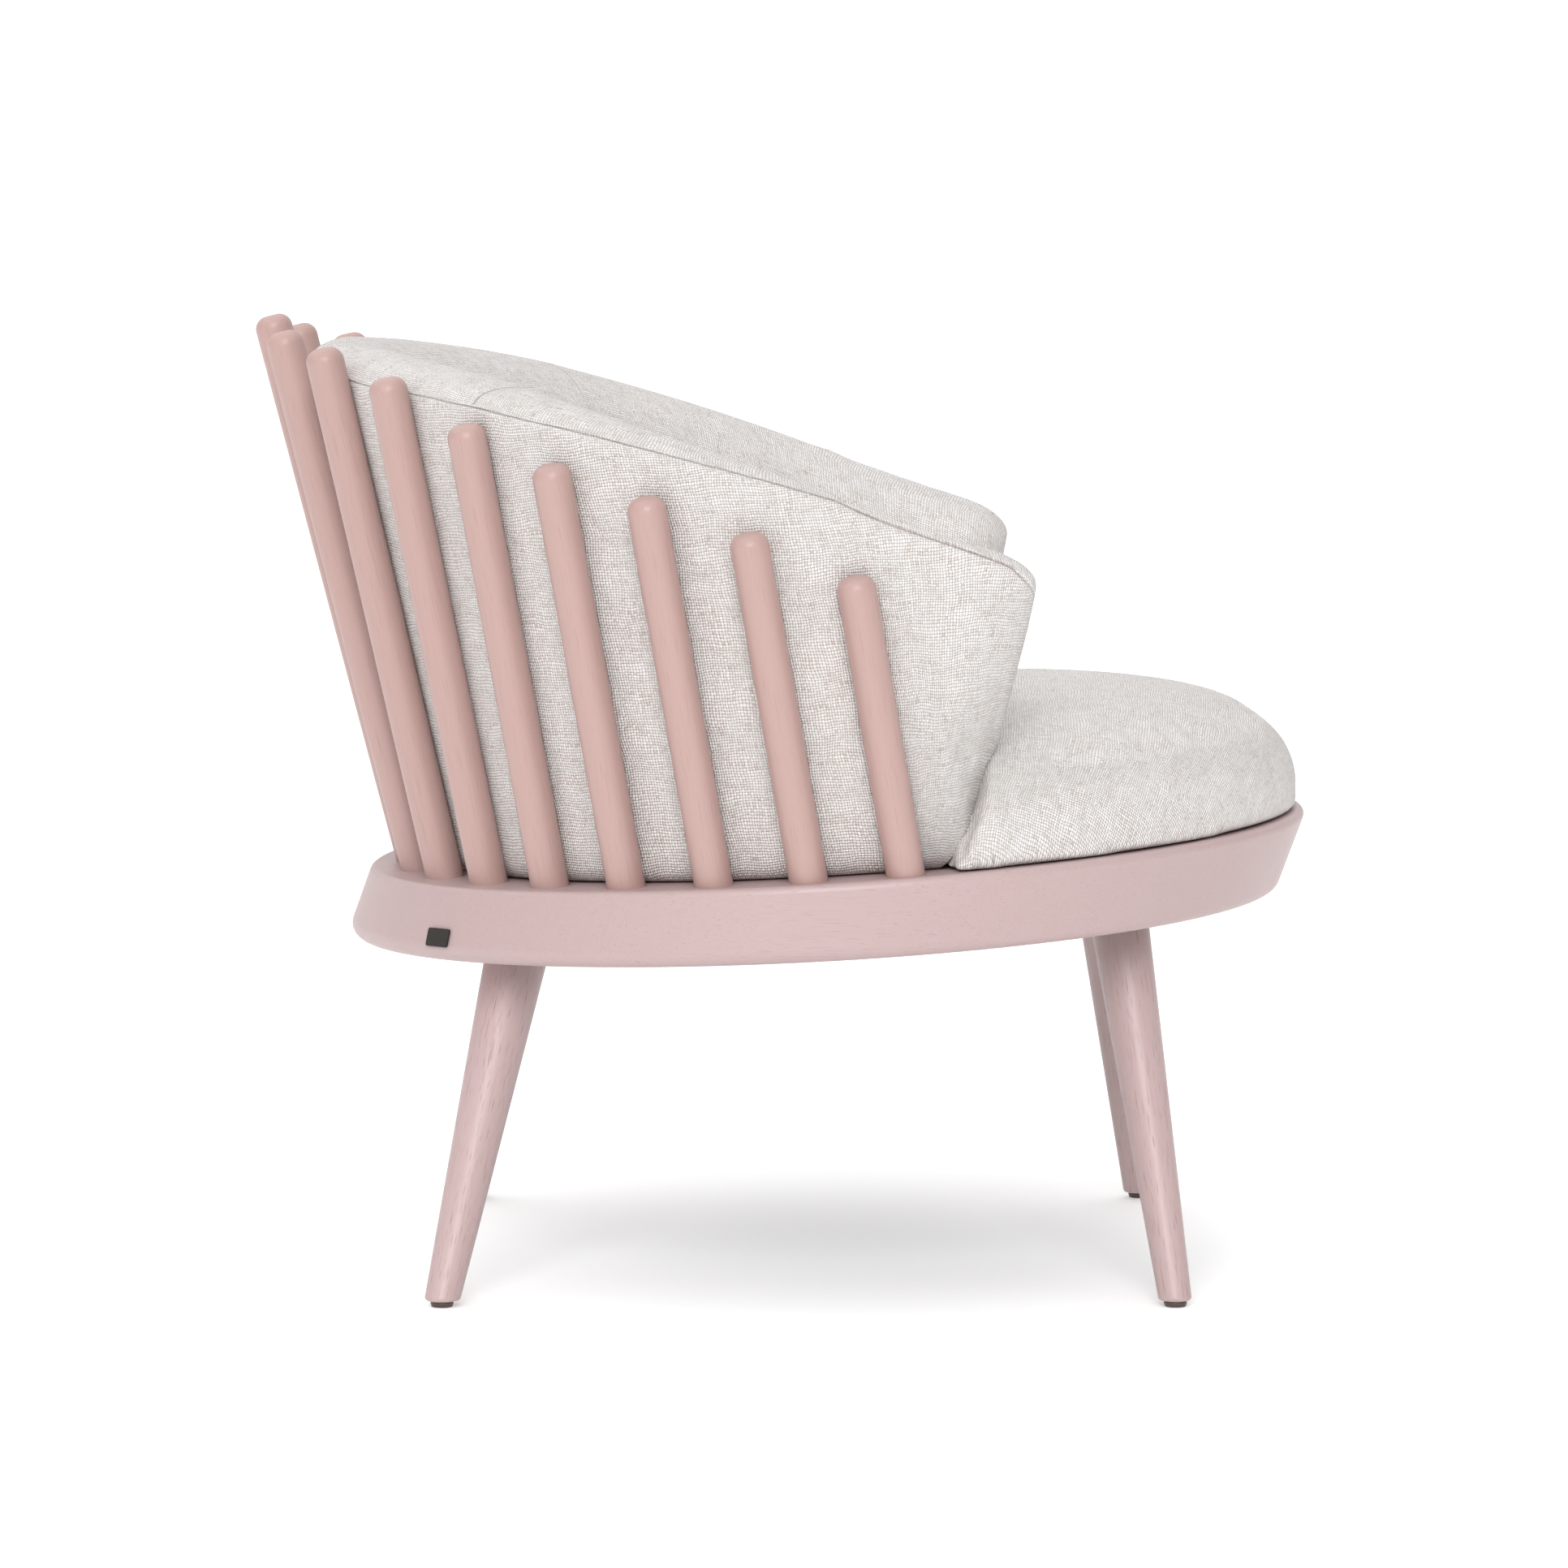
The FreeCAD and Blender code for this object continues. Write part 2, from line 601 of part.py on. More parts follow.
doc.recompute()
for thing in doc.Objects:
    if "Invalid" in thing.State or "Error" in thing.State:
        raise RuntimeError(f"{thing.Name} failed: {thing.State}")
for node in nodes:
    if node.Shape.isNull() or not node.Shape.isValid():
        raise RuntimeError(f"{node.Label} has no valid shape")


def exact_box(node):
    return node.Shape.optimalBoundingBox(False)


boxes = [exact_box(node) for node in nodes]
middle = (min(box.YMin for box in boxes) + max(box.YMax for box in boxes)) / 2
sheet.set(f"B{list(sizes).index('origin_shift') + 1}", f"{-middle:.4f}")
doc.recompute()

os.makedirs("parts", exist_ok=True)
for node in nodes:
    node.Shape.exportStep(f"parts/{node.Label}.step")
    box = exact_box(node)
    print(f"{node.Label:18s} solids {len(node.Shape.Solids)} volume {node.Shape.Volume / 1000:8.1f} cm3"
          f"  x {box.XMin:7.1f} {box.XMax:7.1f}  y {box.YMin:7.1f} {box.YMax:7.1f}"
          f"  z {box.ZMin:6.1f} {box.ZMax:6.1f}")
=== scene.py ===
from math import cos, hypot, pi, radians, sin, tan

import bmesh
import bpy
from mathutils import Matrix, Vector, noise


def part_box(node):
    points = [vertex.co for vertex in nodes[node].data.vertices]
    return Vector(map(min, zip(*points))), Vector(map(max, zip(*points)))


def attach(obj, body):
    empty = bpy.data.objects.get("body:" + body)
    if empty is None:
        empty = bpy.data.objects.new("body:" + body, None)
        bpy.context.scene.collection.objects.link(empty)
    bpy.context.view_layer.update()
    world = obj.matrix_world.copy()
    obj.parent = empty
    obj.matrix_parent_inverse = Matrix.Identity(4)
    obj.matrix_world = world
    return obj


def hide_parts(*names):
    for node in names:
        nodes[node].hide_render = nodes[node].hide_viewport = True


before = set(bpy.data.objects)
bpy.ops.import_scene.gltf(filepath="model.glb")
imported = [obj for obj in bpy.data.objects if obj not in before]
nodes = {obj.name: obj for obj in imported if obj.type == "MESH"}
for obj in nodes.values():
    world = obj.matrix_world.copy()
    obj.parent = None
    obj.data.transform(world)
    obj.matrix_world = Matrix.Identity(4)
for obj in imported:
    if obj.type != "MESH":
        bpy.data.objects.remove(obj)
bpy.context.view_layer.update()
scene = bpy.context.scene
print("frame loaded", len(nodes), "nodes")

# the deck is the tilted plane of the ring's top; the seat board lies level with it
deck = {"tilt": radians(3.7), "boardThickness": 0.018}
boardLow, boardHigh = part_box("seat_board")
boardRadius = (boardHigh.x - boardLow.x) / 2
centreY = (boardLow.y + boardHigh.y + deck["boardThickness"] * sin(deck["tilt"])) / 2
deckLevel = boardHigh.z - boardRadius * sin(deck["tilt"])


# a point from its distances in front of, to the sitter's right of and above the deck's middle
def deckPoint(forward, right, up=0.0):
    return Vector((-right, centreY - forward, deckLevel + tan(deck["tilt"]) * forward + up))


def mix(a, b, share):
    return a + (b - a) * share


def smooth(share):
    share = min(max(share, 0), 1)
    return share * share * (3 - 2 * share)


# a value that varies over a surface; arithmetic on it adds Math nodes
class Field:
    def __init__(self, finish, socket):
        self.finish = finish
        self.socket = socket

    def maths(self, operation, *others):
        sockets = {index: value for index, value in enumerate((self, *others))}
        return self.finish.add("Math", {"operation": operation}, sockets)

    def __add__(self, other):
        return self.maths("ADD", other)

    def __radd__(self, other):
        return self.maths("ADD", other)

    def __sub__(self, other):
        return self.maths("SUBTRACT", other)

    def __rsub__(self, other):
        return self.maths("MULTIPLY", -1).maths("ADD", other)

    def __mul__(self, other):
        return self.maths("MULTIPLY", other)

    def __rmul__(self, other):
        return self.maths("MULTIPLY", other)

    def __truediv__(self, other):
        return self.maths("DIVIDE", other)

    def __gt__(self, other):
        return self.maths("GREATER_THAN", other)

    def __abs__(self):
        return self.maths("ABSOLUTE")


# the nodes of a material or of the world
class Finish:
    def __init__(self, owner):
        self.owner = owner
        owner.use_nodes = True
        self.tree = owner.node_tree
        self.tree.nodes.clear()

    # any node: its type, then its settings, then the values or links of its sockets
    def add(self, kind, settings, sockets, output=0):
        node = self.tree.nodes.new("ShaderNode" + kind)
        for name, value in settings.items():
            if name == "stops":
                ramp = node.color_ramp
                while len(ramp.elements) < len(value):
                    ramp.elements.new(1)
                for element, (position, colour) in zip(ramp.elements, value):
                    element.position = position
                    element.color = (*colour, 1)
            else:
                setattr(node, name, value)
        for key, value in sockets.items():
            if isinstance(value, Field):
                self.tree.links.new(value.socket, node.inputs[key])
            elif isinstance(value, tuple) and node.inputs[key].type == "RGBA":
                node.inputs[key].default_value = (*value, 1)
            else:
                node.inputs[key].default_value = value
        return Field(self, node.outputs[output]) if node.outputs else None

    def blend(self, share, first, second, how="MIX"):
        return self.add("Mix", {"data_type": "RGBA", "blend_type": how}, {0: share, 6: first, 7: second}, 2)

    def place(self, turn=(0, 0, 0), scale=(1, 1, 1)):
        where = self.add("TexCoord", {}, {}, "Object")
        return self.add("Mapping", {}, {"Vector": where, "Rotation": turn, "Scale": scale})

    def cloud(self, where, scale, detail=2.0, rough=0.5):
        return self.add("TexNoise", {}, {"Vector": where, "Scale": scale, "Detail": detail,
                                         "Roughness": rough})

    def coat(self, **sockets):
        named = {key.replace("_", " "): value for key, value in sockets.items()}
        shader = self.add("BsdfPrincipled", {}, named)
        self.add("OutputMaterial", {}, {"Surface": shader})
        return self.owner

    def bump(self, height, distance, strength):
        return self.add("Bump", {}, {"Height": height, "Distance": distance, "Strength": strength})


def newFinish(name):
    return Finish(bpy.data.materials.new(name))


def dress(name, material):
    node = nodes[name]
    for slot in node.material_slots:
        slot.material = material
    if not node.material_slots:
        node.data.materials.append(material)


lacquer = {
    "colour": (0.417, 0.304, 0.298), "pore": (0.244, 0.152, 0.143), "worn": (0.484, 0.375, 0.378),
    # the tint multiplied in as painted shade and bounce light, for parts that stand in shade
    "shadeTint": (1.00, 0.87, 0.80),
    "roughness": 0.46, "coat": 0.12, "coatRoughness": 0.3,
    "pores": (1100, 1100, 34), "poreDepth": 0.00012, "figure": (150, 150, 6),
    "patches": 22.0, "fine": 2400.0,
}


# dusty pink satin lacquer over open pored ash, its grain along the given axis; the last argument darkens and
# warms its colour as painted shade and bounce light
def lacquerFinish(name, axis, grain=1.0, paintedShade=0.0):
    finish = newFinish(name)
    turn = axis.rotation_difference(Vector((0, 0, 1))).to_euler()
    along = finish.place(turn=turn)
    stretched = finish.add("VectorMath", {"operation": "MULTIPLY"}, {0: along, 1: lacquer["pores"]})
    pores = finish.cloud(stretched, 1.0, 1.0)
    marks = finish.add("MapRange", {}, {"Value": pores, "From Min": 0.60, "From Max": 0.72})
    broad = finish.add("VectorMath", {"operation": "MULTIPLY"}, {0: along, 1: lacquer["figure"]})
    figure = finish.cloud(broad, 1.0, 3.0)
    patches = finish.cloud(finish.place(), lacquer["patches"], 3.0)
    colour = finish.blend(figure * 0.5 * grain, lacquer["colour"], lacquer["worn"])
    colour = finish.blend(marks * figure * 0.9 * grain, colour, lacquer["pore"])
    fine = finish.cloud(finish.place(), lacquer["fine"], 2.0)
    colour = finish.blend((fine - 0.5) * 0.25 + 0.12, colour, lacquer["worn"])
    # painted shade: the colour is multiplied toward a darker, warmer tint, as shade and pink bounce light
    # would make it
    colour = finish.blend(paintedShade, colour, lacquer["shadeTint"], "MULTIPLY")
    rough = patches * 0.12 + (lacquer["roughness"] - 0.06) + marks * 0.1
    height = marks * -1.0 * grain + fine * 0.25
    return finish.coat(Base_Color=colour, Roughness=rough, Coat_Weight=lacquer["coat"],
                       Coat_Roughness=lacquer["coatRoughness"],
                       Normal=finish.bump(height, lacquer["poreDepth"], 0.5))


# the direction from a bar's low end to its high end
def barAxis(name):
    points = [vertex.co for vertex in nodes[name].data.vertices]
    low, high = min(p.z for p in points), max(p.z for p in points)
    reach = (high - low) * 0.3
    feet = [p for p in points if p.z < low + reach]
    heads = [p for p in points if p.z > high - reach]
    return (sum(heads, Vector()) / len(heads) - sum(feet, Vector()) / len(feet)).normalized()


spindleNames = sorted(name for name in nodes if name.startswith("spindle_"))
legNames = sorted(name for name in nodes if name.startswith("leg_") and name.endswith(("right", "left")))
# painted shade: the spindles, in the cushion's shade, get the most; the legs a little; the ring none
for name in spindleNames:
    dress(name, lacquerFinish("lacquer_" + name, barAxis(name), 0.5, 0.9))
for name in legNames:
    dress(name, lacquerFinish("lacquer_" + name, barAxis(name), 1.3, 0.15))
dress("base_ring", lacquerFinish("lacquer_ring", Vector((0, 1, 0)), 0.6))
print("lacquered", len(spindleNames), "spindles and", len(legNames), "legs")

plain = {
    "plywood": ((0.60, 0.44, 0.28), (0.47, 0.32, 0.19), 0.62),
    "zinc": ((0.56, 0.56, 0.58), (0.42, 0.42, 0.44), 0.32),
}


def plywoodFinish():
    finish = newFinish("birch_plywood")
    light, dark, rough = plain["plywood"]
    grain = finish.cloud(finish.place(scale=(8, 180, 400)), 1.0, 4.0)
    colour = finish.blend(grain, dark, light)
    return finish.coat(Base_Color=colour, Roughness=grain * 0.1 + rough,
                       Normal=finish.bump(grain, 0.0003, 0.4))


def zincFinish():
    finish = newFinish("zinc_plated_steel")
    light, dark, rough = plain["zinc"]
    cloud = finish.cloud(finish.place(), 300.0, 3.0)
    colour = finish.blend(cloud, dark, light)
    return finish.coat(Base_Color=colour, Metallic=1.0, Roughness=cloud * 0.15 + rough,
                       Normal=finish.bump(cloud, 0.0001, 0.3))


def feltFinish():
    finish = newFinish("black_nonwoven")
    fibres = finish.cloud(finish.place(), 900.0, 6.0, 0.7)
    dots = finish.add("TexVoronoi", {"feature": "F1"}, {"Vector": finish.place(), "Scale": 260.0}, "Distance")
    dents = finish.add("MapRange", {}, {"Value": dots, "From Min": 0.1, "From Max": 0.3})
    colour = finish.blend(fibres, (0.010, 0.010, 0.011), (0.045, 0.044, 0.046))
    return finish.coat(Base_Color=colour, Roughness=0.9, Normal=finish.bump(fibres + dents, 0.0006, 0.6))


plywood, zinc, felt = plywoodFinish(), zincFinish(), feltFinish()
for name in ("seat_board", "front_beam", "rear_beam", "back_rail", "back_shell"):
    dress(name, plywood)
for name in ("board_screws", "back_bolts", "leg_bolts", "leg_inserts", "glide_nails"):
    dress(name, zinc)
dress("dust_cover", felt)

cloth = {
    "pitch": 0.0021, "ivory": (0.755, 0.710, 0.687), "white": (0.87, 0.852, 0.842),
    "beige": (0.600, 0.518, 0.470), "brown": (0.33, 0.25, 0.21), "relief": 0.0016,
    "seamWidth": 0.00045, "stitch": 0.0042, "dartReach": 0.062, "seamTone": (0.26, 0.21, 0.19),
    # how the threads wander: the size of the wandering and how far it goes
    "drift": (18.0, 2.0, 0.012), "wobble": (140.0, 1.0, 0.0011),
}


# one set of threads: how high each stands, how it varies in tone, and where it thickens
def threads(finish, across, along, seed):
    number = across.maths("FLOOR")
    hump = (across.maths("FRACT") * pi).maths("SINE")
    spot = finish.add("CombineXYZ", {}, {"X": number * 0.37, "Y": along * 0.05, "Z": seed})
    tone = finish.cloud(spot, 3.1, 2.0)
    fleck = finish.add("CombineXYZ", {}, {"X": number * 0.73, "Y": along * 0.18, "Z": seed + 7.0})
    specks = finish.cloud(fleck, 2.3, 1.0)
    return hump, tone, specks


def weaveFinish(name, seams):
    finish = newFinish(name)
    flat = finish.add("UVMap", {"uv_map": "weave"}, {})
    moved = flat
    for scale, detail, reach in (cloth["drift"], cloth["wobble"]):
        wander = finish.add("TexNoise", {}, {"Vector": flat, "Scale": scale, "Detail": detail}, "Color")
        wander = finish.add("VectorMath", {"operation": "SUBTRACT"}, {0: wander, 1: (0.5, 0.5, 0.5)})
        wander = finish.add("VectorMath", {"operation": "SCALE"}, {0: wander, "Scale": reach})
        moved = finish.add("VectorMath", {"operation": "ADD"}, {0: moved, 1: wander})
    split = finish.add("SeparateXYZ", {}, {"Vector": moved})
    warp = Field(finish, split.socket.node.outputs["X"]) * (1 / cloth["pitch"])
    weft = Field(finish, split.socket.node.outputs["Y"]) * (1 / cloth["pitch"])
    warpHump, warpTone, warpSpecks = threads(finish, warp, weft, 1.0)
    weftHump, weftTone, weftSpecks = threads(finish, weft, warp, 5.0)
    over = ((warp.maths("FLOOR") + weft.maths("FLOOR")) * 0.5).maths("FRACT") > 0.25
    under = 1 - over
    height = over * warpHump * (weftHump * 0.45 + 0.55) + under * weftHump * (warpHump * 0.45 + 0.55)
    tone = over * warpTone + under * weftTone
    specks = over * warpSpecks + under * weftSpecks
    mottle = finish.cloud(flat, 60.0, 3.0)
    tones = [(0.24, cloth["beige"]), (0.42, cloth["ivory"]), (0.66, cloth["white"])]
    colour = finish.add("ValToRGB", {"stops": tones}, {"Fac": tone + (mottle - 0.5) * 0.06})
    brown = finish.add("MapRange", {}, {"Value": specks, "From Min": 0.70, "From Max": 0.80})
    colour = finish.blend(brown * 0.5, colour, cloth["brown"])
    # painted shade: the weave's low parts, between and under the threads, are darkened and tinted warm in the
    # base colour
    weaveShade = finish.add("MapRange", {}, {"Value": height, "From Min": 0.0, "From Max": 0.55,
                                          "To Min": 0.45, "To Max": 1.0})
    green, blue = weaveShade * 1.05 - 0.05, weaveShade * 1.08 - 0.08
    shade = finish.add("CombineXYZ", {}, {"X": weaveShade, "Y": green, "Z": blue})
    colour = finish.blend(1.0, colour, shade, "MULTIPLY")
    relief = height + specks * 0.7 + tone * 0.4
    if seams:
        seam = abs(finish.add("Attribute", {"attribute_name": "seam"}, {}, "Fac"))
        dart = abs(finish.add("Attribute", {"attribute_name": "dart"}, {}, "Fac"))
        path = finish.add("Attribute", {"attribute_name": "along"}, {}, "Fac")
        dash = ((path / cloth["stitch"]).maths("FRACT") * pi).maths("SINE")
        nearest = seam.maths("MINIMUM", dart)
        width = cloth["seamWidth"]
        line = finish.add("MapRange", {}, {"Value": nearest, "From Min": width * 2, "From Max": width * 0.5})
        groove = finish.add("MapRange", {}, {"Value": nearest, "From Min": 0.004, "From Max": 0.0})
        colour = finish.blend(line * (dash * 0.3 + 0.5), colour, cloth["seamTone"])
        relief = relief - groove * 2.4 - line * (1.5 - dash)
    rough = 0.96 - tone * 0.1
    return finish.coat(Base_Color=colour, Roughness=rough, Normal=finish.bump(relief, cloth["relief"], 0.75),
                       Sheen_Weight=0.25, Sheen_Roughness=0.55, Specular_IOR_Level=0.25)


def newPiece(name, mesh, material):
    piece = bpy.data.objects.new(name, mesh)
    scene.collection.objects.link(piece)
    mesh.materials.clear()
    mesh.materials.append(material)
    for polygon in mesh.polygons:
        polygon.use_smooth = True
    return piece


# replaces a piece's mesh by what its modifiers make of it
def settle(piece):
    bpy.context.view_layer.update()
    graph = bpy.context.evaluated_depsgraph_get()
    made = bpy.data.meshes.new_from_object(piece.evaluated_get(graph), preserve_all_data_layers=True,
                                           depsgraph=graph)
    piece.modifiers.clear()
    piece.data = made
    return made


def subdivide(piece):
    finer = piece.modifiers.new("smooth", "SUBSURF")
    finer.levels = finer.render_levels = 1


filling = {
    "quality": 6, "mass": 0.25, "tension_stiffness": 18, "compression_stiffness": 18,
    "shear_stiffness": 6, "bending_stiffness": 0.8, "use_pressure": True,
}


# blows a closed cover up like a filled cushion; held is how firmly each point stays
def fill(piece, held, pressure, cap):
    group = piece.vertex_groups.new(name="held")
    for index, weight in enumerate(held):
        if weight > 0:
            group.add([index], weight, "REPLACE")
    before = [vertex.co.copy() for vertex in piece.data.vertices]
    cover = piece.modifiers.new("cover", "CLOTH")
    for setting, value in filling.items():
        setattr(cover.settings, setting, value)
    cover.settings.vertex_group_mass = group.name
    cover.settings.uniform_pressure_force = pressure
    cover.settings.effector_weights.gravity = 0
    cover.collision_settings.use_collision = False
    for step in range(1, 21):
        scene.frame_set(step)
    graph = bpy.context.evaluated_depsgraph_get()
    after = [vertex.co.copy() for vertex in piece.evaluated_get(graph).data.vertices]
    piece.modifiers.remove(cover)
    piece.vertex_groups.remove(group)
    scene.frame_set(1)
    for vertex, start, end in zip(piece.data.vertices, before, after):
        move = end - start
        if move.length > cap:
            move *= cap / move.length
        vertex.co = start + move


wrap = {
    "circleShift": 0.010, "outerRadius": 0.3172, "thickness": 0.086, "corner": 0.006, "lift": 0.0006,
    "crest": 0.4055, "sideCrest": 0.282, "armCrest": 0.2165, "crestPower": 1.85, "armFall": 0.8,
    "backSeam": 0.0265, "sideSeam": 0.009, "innerRoll": 0.050, "crestAt": 0.45,
    "lastSpindle": 96.0, "armEnd": 100.2, "noseStart": 0.50, "noseLow": 0.94, "noseTall": 0.12,
    "dropStart": 0.72, "noseDrop": 0.018, "noseRoll": 0.010,
    "leanBack": 14.5, "leanSide": 9.8, "leanReach": 54.0, "flare": 9.0,
    "armSlope": 0.355, "armBelly": 0.019, "bellyFoot": 0.03, "bellyFade": 0.0085,
    "dart": 47.5, "dartDrift": 0.2, "seamEnd": 0.84, "seamFade": 0.02,
    "puckers": ((9, 0.0022), (24, 0.0008)), "seamHold": 0.0015, "footHold": 0.004,
    "pressure": 4.0, "mostSwell": 0.006, "spindleGap": 0.0005,
}
# points round one section: the bottom, up the outside, over the top and down the inside
panels = {"bottom": 10, "outer": 34, "top": 22, "inner": 34}
around = sum(panels.values())


def wrapLean(angle):
    reach = wrap["leanReach"]
    share = (1 + cos(pi * abs(angle) / reach)) / 2 if abs(angle) < reach else 0
    return tan(radians(mix(wrap["leanSide"], wrap["leanBack"], share)))


def wrapCrest(angle, share):
    if share > 0:
        drop = 0
        past = (share - wrap["dropStart"]) / (1 - wrap["dropStart"])
        if past > 0:
            drop = wrap["noseDrop"] * (1 - (1 - past ** 2) ** 0.5)
        return mix(wrap["sideCrest"], wrap["armCrest"], share ** wrap["armFall"]) - drop
    drop = wrap["crest"] - wrap["sideCrest"]
    return wrap["crest"] - drop * (abs(angle) / wrap["lastSpindle"]) ** wrap["crestPower"]


# how much of its thickness the arm keeps near its front end, which is squarer where it meets the seat
def slimming(share, up):
    start = mix(wrap["noseLow"], wrap["noseStart"], smooth(up / wrap["noseTall"]))
    nose = max(share - start, 0) / (1 - start)
    return (1 - nose ** 2.3) ** (1 / 2.3)


# one section's points as (across, up), each with its panel; share runs along the arm's front
def section(angle, share):
    nose = max(share - wrap["noseStart"], 0) / (1 - wrap["noseStart"])
    wide = wrap["thickness"]
    rise = wrapCrest(angle, share)
    sideways = min(abs(angle) / wrap["lastSpindle"], 1)
    outerDrop = mix(mix(wrap["backSeam"], wrap["sideSeam"], sideways), wrap["noseRoll"], nose)
    innerDrop = mix(wrap["innerRoll"], wrap["noseRoll"], nose)
    crestAt = mix(wrap["crestAt"], 0.5, nose)
    corner = wrap["corner"]
    low = wrap["lift"]
    points = []
    for step in range(panels["bottom"]):
        turn = step / panels["bottom"]
        edge = min(turn, 1 - turn) * wide
        round_ = corner - (corner ** 2 - max(corner - edge, 0) ** 2) ** 0.5 if edge < corner else 0
        points.append((wide * (1 - turn), low + round_))
    for step in range(panels["outer"]):
        points.append((0, mix(low + corner, rise - outerDrop, step / panels["outer"])))
    for step in range(panels["top"]):
        part = step / panels["top"]
        if part < crestAt:
            turn = pi / 2 * part / crestAt
            points.append((wide * crestAt * (1 - cos(turn)) ** 0.95, rise - outerDrop * (1 - sin(turn))))
        else:
            turn = pi / 2 * (part - crestAt) / (1 - crestAt)
            points.append((wide * (crestAt + (1 - crestAt) * sin(turn)), rise - innerDrop * (1 - cos(turn))))
    for step in range(panels["inner"]):
        points.append((wide, mix(rise - innerDrop, low + corner, step / panels["inner"])))
    return [((across - wide / 2) * slimming(share, up), up) for across, up in points]


def spotOn(angle, share, across, up):
    radius = wrap["outerRadius"] - wrap["thickness"] / 2
    turn = radians(angle)
    forward = wrap["circleShift"] - radius * cos(turn)
    right = radius * sin(turn)
    slope = mix(wrapLean(angle), -wrap["armSlope"], share)
    footed = 1 - 0.65 * (1 - min(max(up / wrap["bellyFoot"], 0), 1)) ** 2
    belly = (wrap["armBelly"] * footed - wrap["bellyFade"] * (max(up - 0.09, 0) / 0.1) ** 1.6) * share
    flare = tan(radians(wrap["flare"])) * sin(turn)
    forward += across * cos(turn) - slope * up + belly
    right += -across * sin(turn) + flare * up
    return deckPoint(forward, right, up)


def wrapStations():
    arms = [0.07, 0.15, 0.23, 0.31, 0.39, 0.47, 0.54, 0.61, 0.68, 0.75, 0.81, 0.87, 0.92, 0.96, 0.985, 1.0]
    spread = wrap["armEnd"] - wrap["lastSpindle"]
    count = 60
    body = [(wrap["lastSpindle"] * step / count, 0.0) for step in range(-count, count + 1)]
    front = [(wrap["lastSpindle"] + spread * share, share) for share in arms]
    return [(-angle, share) for angle, share in reversed(front)] + body + front


# a ring of points swept one station on, in the same order
def sweptOn(shape, ring):
    edges = [shape.edges.get((ring[i], ring[(i + 1) % len(ring)])) for i in range(len(ring))]
    made = bmesh.ops.extrude_edge_only(shape, edges=edges)["geom"]
    fresh = {vert for vert in made if isinstance(vert, bmesh.types.BMVert)}
    return [next(edge.other_vert(old) for edge in old.link_edges if edge.other_vert(old) in fresh)
            for old in ring]


def wrapMesh():
    mesh = bpy.data.meshes.new("backCushion")
    shape = bmesh.new()
    grain = shape.loops.layers.uv.new("weave")
    seam = shape.verts.layers.float.new("seam")
    dart = shape.verts.layers.float.new("dart")
    along = shape.verts.layers.float.new("along")
    depth = shape.verts.layers.float.new("depth")
    ring = bmesh.ops.create_circle(shape, segments=around, radius=1)["verts"]
    stations = wrapStations()
    columns = []
    for angle, share in stations:
        if columns:
            ring = sweptOn(shape, ring)
        for vert, (across, up) in zip(ring, section(angle, share)):
            vert.co = spotOn(angle, share, across, up)
        columns.append(list(ring))
    seamRow = panels["bottom"] + panels["outer"]
    place = {}
    path = 0.0
    for number, column in enumerate(columns):
        if number:
            path += (column[seamRow].co - columns[number - 1][seamRow].co).length
        down = 0.0
        angle, share = stations[number]
        rows = section(angle, share)
        for row, vert in enumerate(column):
            place[vert] = (row, rows[row][1])
            vert[along] = path
            vert[depth] = 0.0
            if row > seamRow:
                down += (vert.co - column[row - 1].co).length
                vert[depth] = down
            off = down if row > seamRow else rows[row][1] - rows[seamRow][1]
            apart = wrap["seamFade"] * smooth((share - wrap["seamEnd"]) / 0.1)
            vert[seam] = off + (apart if off >= 0 else -apart)
            inDart = cloth["dartReach"] * smooth(off / cloth["dartReach"]) * wrap["dartDrift"]
            line = (abs(angle) - wrap["dart"]) * pi / 180 * wrap["outerRadius"] - inDart
            past = max(off - cloth["dartReach"], 0) if row > seamRow else 1.0
            vert[dart] = line + (past if line > 0 else -past)
    for face in shape.faces:
        rows = [place[loop.vert][0] for loop in face.loops]
        wraps = max(rows) - min(rows) > around / 2
        outside = max(rows) <= seamRow and not wraps
        for loop in face.loops:
            if outside:
                loop[grain].uv = (loop.vert[along] * 0.96, place[loop.vert][1])
            else:
                loop[grain].uv = (loop.vert[along] * 0.92 + 2.0, loop.vert[depth] + 1.0)
    bmesh.ops.remove_doubles(shape, verts=shape.verts, dist=0.0002)
    bmesh.ops.recalc_face_normals(shape, faces=shape.faces)
    shape.to_mesh(mesh)
    shape.free()
    return mesh


spindleLines = []
for name in spindleNames:
    axis = barAxis(name)
    points = [vertex.co for vertex in nodes[name].data.vertices]
    middle = sum(points, Vector()) / len(points)
    across = [(p - middle - axis * axis.dot(p - middle)).length for p in points]
    spindleLines.append((middle, axis, max(across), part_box(name)[1].z))


# presses the cover back where a spindle stands against it, and lets it swell between them
def pressSpindles(mesh, clear):
    for vertex in mesh.vertices:
        for middle, axis, radius, high in spindleLines:
            foot = middle + axis * axis.dot(vertex.co - middle)
            away = vertex.co - foot
            if vertex.co.z > high + 0.002 or away.length > radius + 0.03:
                continue
            inward = Vector((-foot.x, centreY - foot.y, 0)).normalized()
            if away.length < radius + clear:
                side = away - inward * away.dot(inward)
                depth = ((radius + clear) ** 2 - min(side.length, radius) ** 2) ** 0.5
                vertex.co = foot + side + inward * depth


fabric = weaveFinish("ivory_melange_weave", True)
seatFabric = weaveFinish("ivory_melange_weave_seat", False)

